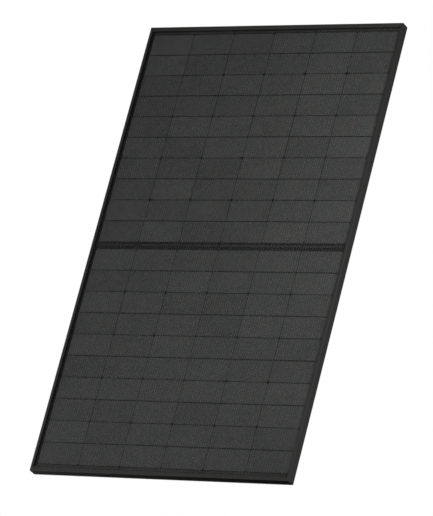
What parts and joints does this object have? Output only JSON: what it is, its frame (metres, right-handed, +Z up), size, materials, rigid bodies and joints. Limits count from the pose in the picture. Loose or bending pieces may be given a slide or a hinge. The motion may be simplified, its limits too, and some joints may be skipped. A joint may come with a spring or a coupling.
{
  "type": "solar panel",
  "caption": "Black framed solar panel with half-cut cells under glass, a dark gap across its middle, flanged frame for rails and split junction boxes behind.",
  "frame": {"origin": "centre of the panel's box, halfway between the front lips and the rear flanges", "axes": "+X to the right seen from the front, +Y from the glass towards the rear flanges, +Z up along the panel's length"},
  "size_m": [1.041, 0.035, 1.767],
  "materials": {
    "frame_black": "black anodised, fine satin extrusion lines",
    "key_aluminium": "bare cut aluminium",
    "front_glass": "tempered low-iron glass, lightly textured, anti-reflective",
    "clear_encapsulant": "clear laminated film",
    "silicon_cell": "dark textured silicon with fine grid lines",
    "tinned_copper": "tin-coated copper ribbon",
    "black_backsheet": "smooth black polymer film",
    "black_sealant": "cured black silicone",
    "box_plastic": "moulded black plastic, fine spark texture",
    "seal_rubber": "soft black rubber",
    "diode_resin": "moulded black resin",
    "label_film": "matt printed film, left blank"
  },
  "bodies": {
    "panel": {"backsheet": "black_backsheet", "bottom_ribbon_1": "tinned_copper", "bottom_ribbon_2": "tinned_copper", "bottom_ribbon_3": "tinned_copper", "box_adhesive_left": "black_sealant", "box_adhesive_middle": "black_sealant", "box_adhesive_right": "black_sealant", "box_base_left": "box_plastic", "box_base_middle": "box_plastic", "box_base_right": "box_plastic", "bypass_diode_left": "diode_resin", "bypass_diode_middle": "diode_resin", "bypass_diode_right": "diode_resin", "cable_gland_left": "box_plastic", "cable_gland_right": "box_plastic", "cell_string_lower_1": "silicon_cell", "cell_string_lower_2": "silicon_cell", "cell_string_lower_3": "silicon_cell", "cell_string_lower_4": "silicon_cell", "cell_string_lower_5": "silicon_cell", "cell_string_lower_6": "silicon_cell", "cell_string_upper_1": "silicon_cell", "cell_string_upper_2": "silicon_cell", "cell_string_upper_3": "silicon_cell", "cell_string_upper_4": "silicon_cell", "cell_string_upper_5": "silicon_cell", "cell_string_upper_6": "silicon_cell", "corner_key_bottom_left": "key_aluminium", "corner_key_bottom_right": "key_aluminium", "corner_key_top_left": "key_aluminium", "corner_key_top_right": "key_aluminium", "edge_sealant": "black_sealant", "frame_bottom": "frame_black", "frame_left": "frame_black", "frame_right": "frame_black", "frame_top": "frame_black", "front_encapsulant": "clear_encapsulant", "front_glass": "front_glass", "middle_ribbon_1": "tinned_copper", "middle_ribbon_2": "tinned_copper", "middle_ribbon_3": "tinned_copper", "middle_ribbon_4": "tinned_copper", "rating_label": "label_film", "rear_encapsulant": "clear_encapsulant", "terminal_left_left": "tinned_copper", "terminal_left_right": "tinned_copper", "terminal_middle_left": "tinned_copper", "terminal_middle_right": "tinned_copper", "terminal_right_left": "tinned_copper", "terminal_right_right": "tinned_copper", "top_ribbon_1": "tinned_copper", "top_ribbon_2": "tinned_copper", "top_ribbon_3": "tinned_copper"},
    "lid_left": {"box_lid_left": "box_plastic", "lid_seal_left": "seal_rubber"},
    "lid_middle": {"box_lid_middle": "box_plastic", "lid_seal_middle": "seal_rubber"},
    "lid_right": {"box_lid_right": "box_plastic", "lid_seal_right": "seal_rubber"}
  },
  "joints": [
    {"name": "lid_left_pull", "type": "slide", "parent": "panel", "child": "lid_left", "axis": [0, 1, 0], "range_m": [0, 0.012]},
    {"name": "lid_middle_pull", "type": "slide", "parent": "panel", "child": "lid_middle", "axis": [0, 1, 0], "range_m": [0, 0.012]},
    {"name": "lid_right_pull", "type": "slide", "parent": "panel", "child": "lid_right", "axis": [0, 1, 0], "range_m": [0, 0.012]}
  ]
}
